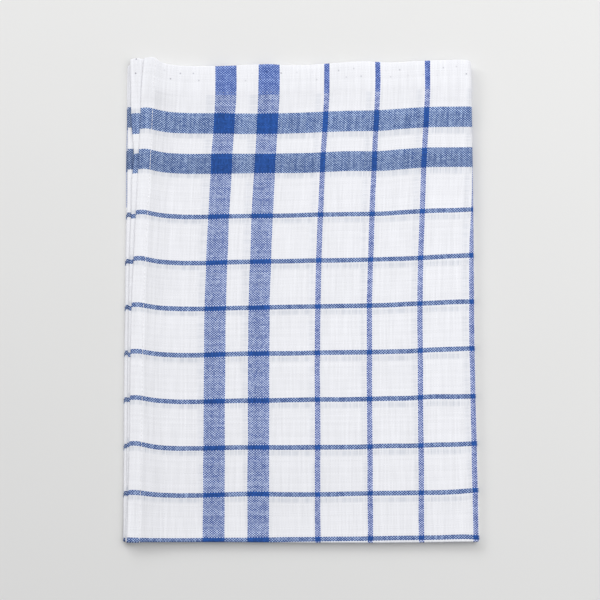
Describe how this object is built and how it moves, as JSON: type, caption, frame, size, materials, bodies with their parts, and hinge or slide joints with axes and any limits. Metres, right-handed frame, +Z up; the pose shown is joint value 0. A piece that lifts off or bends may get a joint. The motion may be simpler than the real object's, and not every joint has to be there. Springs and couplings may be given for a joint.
{
  "type": "tea towel",
  "caption": "Woven cotton tea towel with a blue check and wide border stripes, folded into quarters and lying flat.",
  "frame": {"origin": "centre of the folded towel's footprint, on the surface that it lies on", "axes": "+Z up, +Y towards the four hemmed ends, +X towards the side crease"},
  "size_m": [0.2544, 0.3516, 0.0087],
  "materials": {
    "checked_cotton": "matt plain weave"
  },
  "bodies": {
    "root": {"tea_towel": "checked_cotton"}
  },
  "joints": []
}
